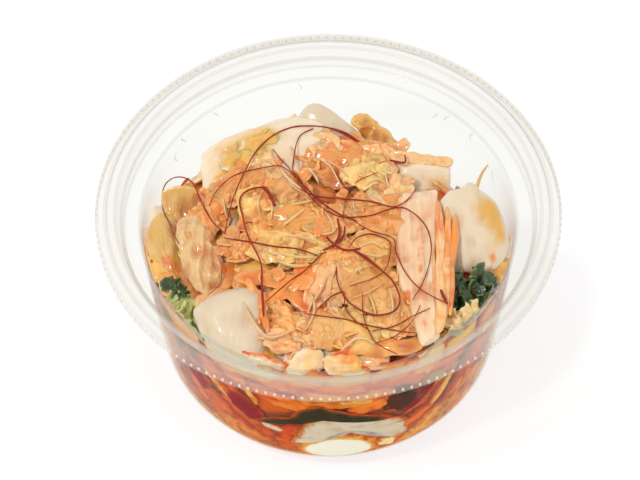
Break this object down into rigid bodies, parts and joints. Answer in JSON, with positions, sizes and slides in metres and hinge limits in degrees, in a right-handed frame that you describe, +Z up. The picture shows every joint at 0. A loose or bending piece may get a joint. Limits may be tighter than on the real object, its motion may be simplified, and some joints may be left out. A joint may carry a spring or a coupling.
{
  "type": "bowl of chili oil cabbage",
  "caption": "Clear round deli bowl with a rolled, knurled rim and a lid seat, filled nearly to the top with cabbage, carrot and leaf in chili oil.",
  "frame": {"origin": "centre of the resting ring under the bowl's base", "axes": "+Z up through the open top; -Y towards the front, where the large smooth stem chunk is left of centre; +X to the right"},
  "size_m": [0.129, 0.129, 0.062],
  "materials": {
    "clear_plastic": "clear thin thermoformed plastic, glossy",
    "chili_oil": "clear orange oil, wet",
    "dressed_leaf": "crinkled leaf coated in chili oil, wet",
    "stem": "cream stem, moist",
    "carrot": "carrot shreds, moist",
    "green_leaf": "dark green leaf, moist"
  },
  "bodies": {
    "root": {"bowl": "clear_plastic", "chili_oil": "chili_oil", "cabbage_heap": "dressed_leaf", "stem_back_left": "stem", "stem_back_centre": "stem", "stem_block_back_right": "stem", "stem_right": "stem", "stem_slab_long": "stem", "stem_front_left": "stem", "carrot_bundle": "carrot", "green_leaf_right": "green_leaf", "green_leaf_left": "green_leaf", "leaf_fold_left": "dressed_leaf", "leaf_curl_left": "dressed_leaf", "leaf_front_right": "dressed_leaf"}
  },
  "joints": []
}
